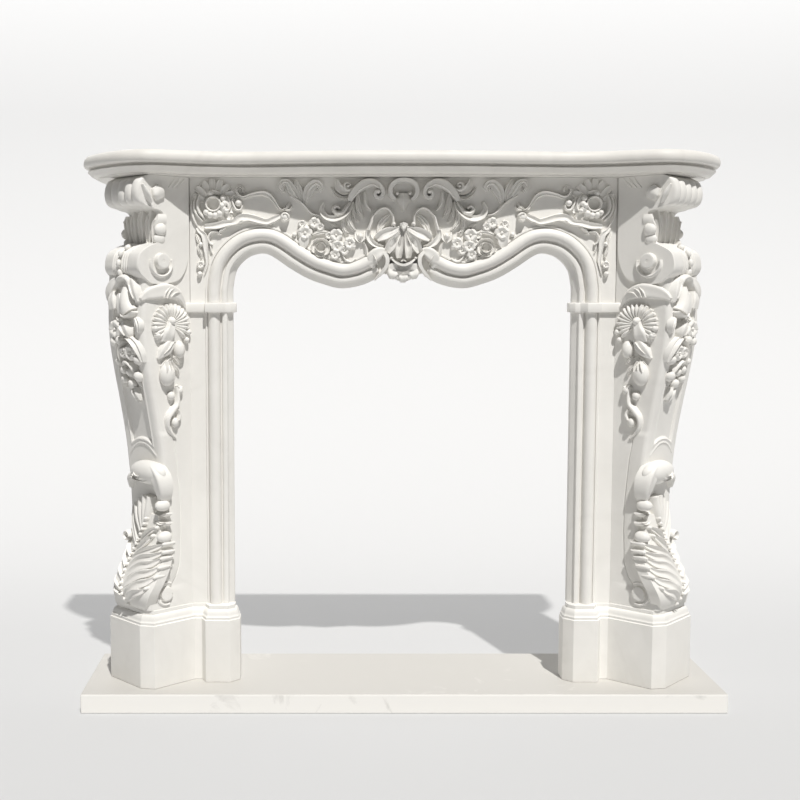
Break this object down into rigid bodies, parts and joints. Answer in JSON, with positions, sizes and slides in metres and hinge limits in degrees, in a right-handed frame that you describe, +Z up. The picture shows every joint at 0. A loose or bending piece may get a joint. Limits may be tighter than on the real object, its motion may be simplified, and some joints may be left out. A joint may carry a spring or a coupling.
{
  "type": "fireplace mantel",
  "caption": "Carved white marble fireplace surround: hearth slab, plinths, canted scroll legs, pierced floral frieze and a serpentine moulded shelf.",
  "frame": {"origin": "on the floor, below the middle of the box round the whole mantel", "axes": "+X to the right as seen from the room, +Y from the room to the wall, +Z up"},
  "size_m": [1.5, 0.32, 1.2756],
  "materials": {
    "hearth_marble": "honed",
    "marble": "honed"
  },
  "bodies": {
    "root": {"hearth_slab": "hearth_marble", "plinth_left": "marble", "plinth_right": "marble", "leg_left": "marble", "leg_right": "marble", "frieze": "marble", "shelf": "marble"}
  },
  "joints": []
}
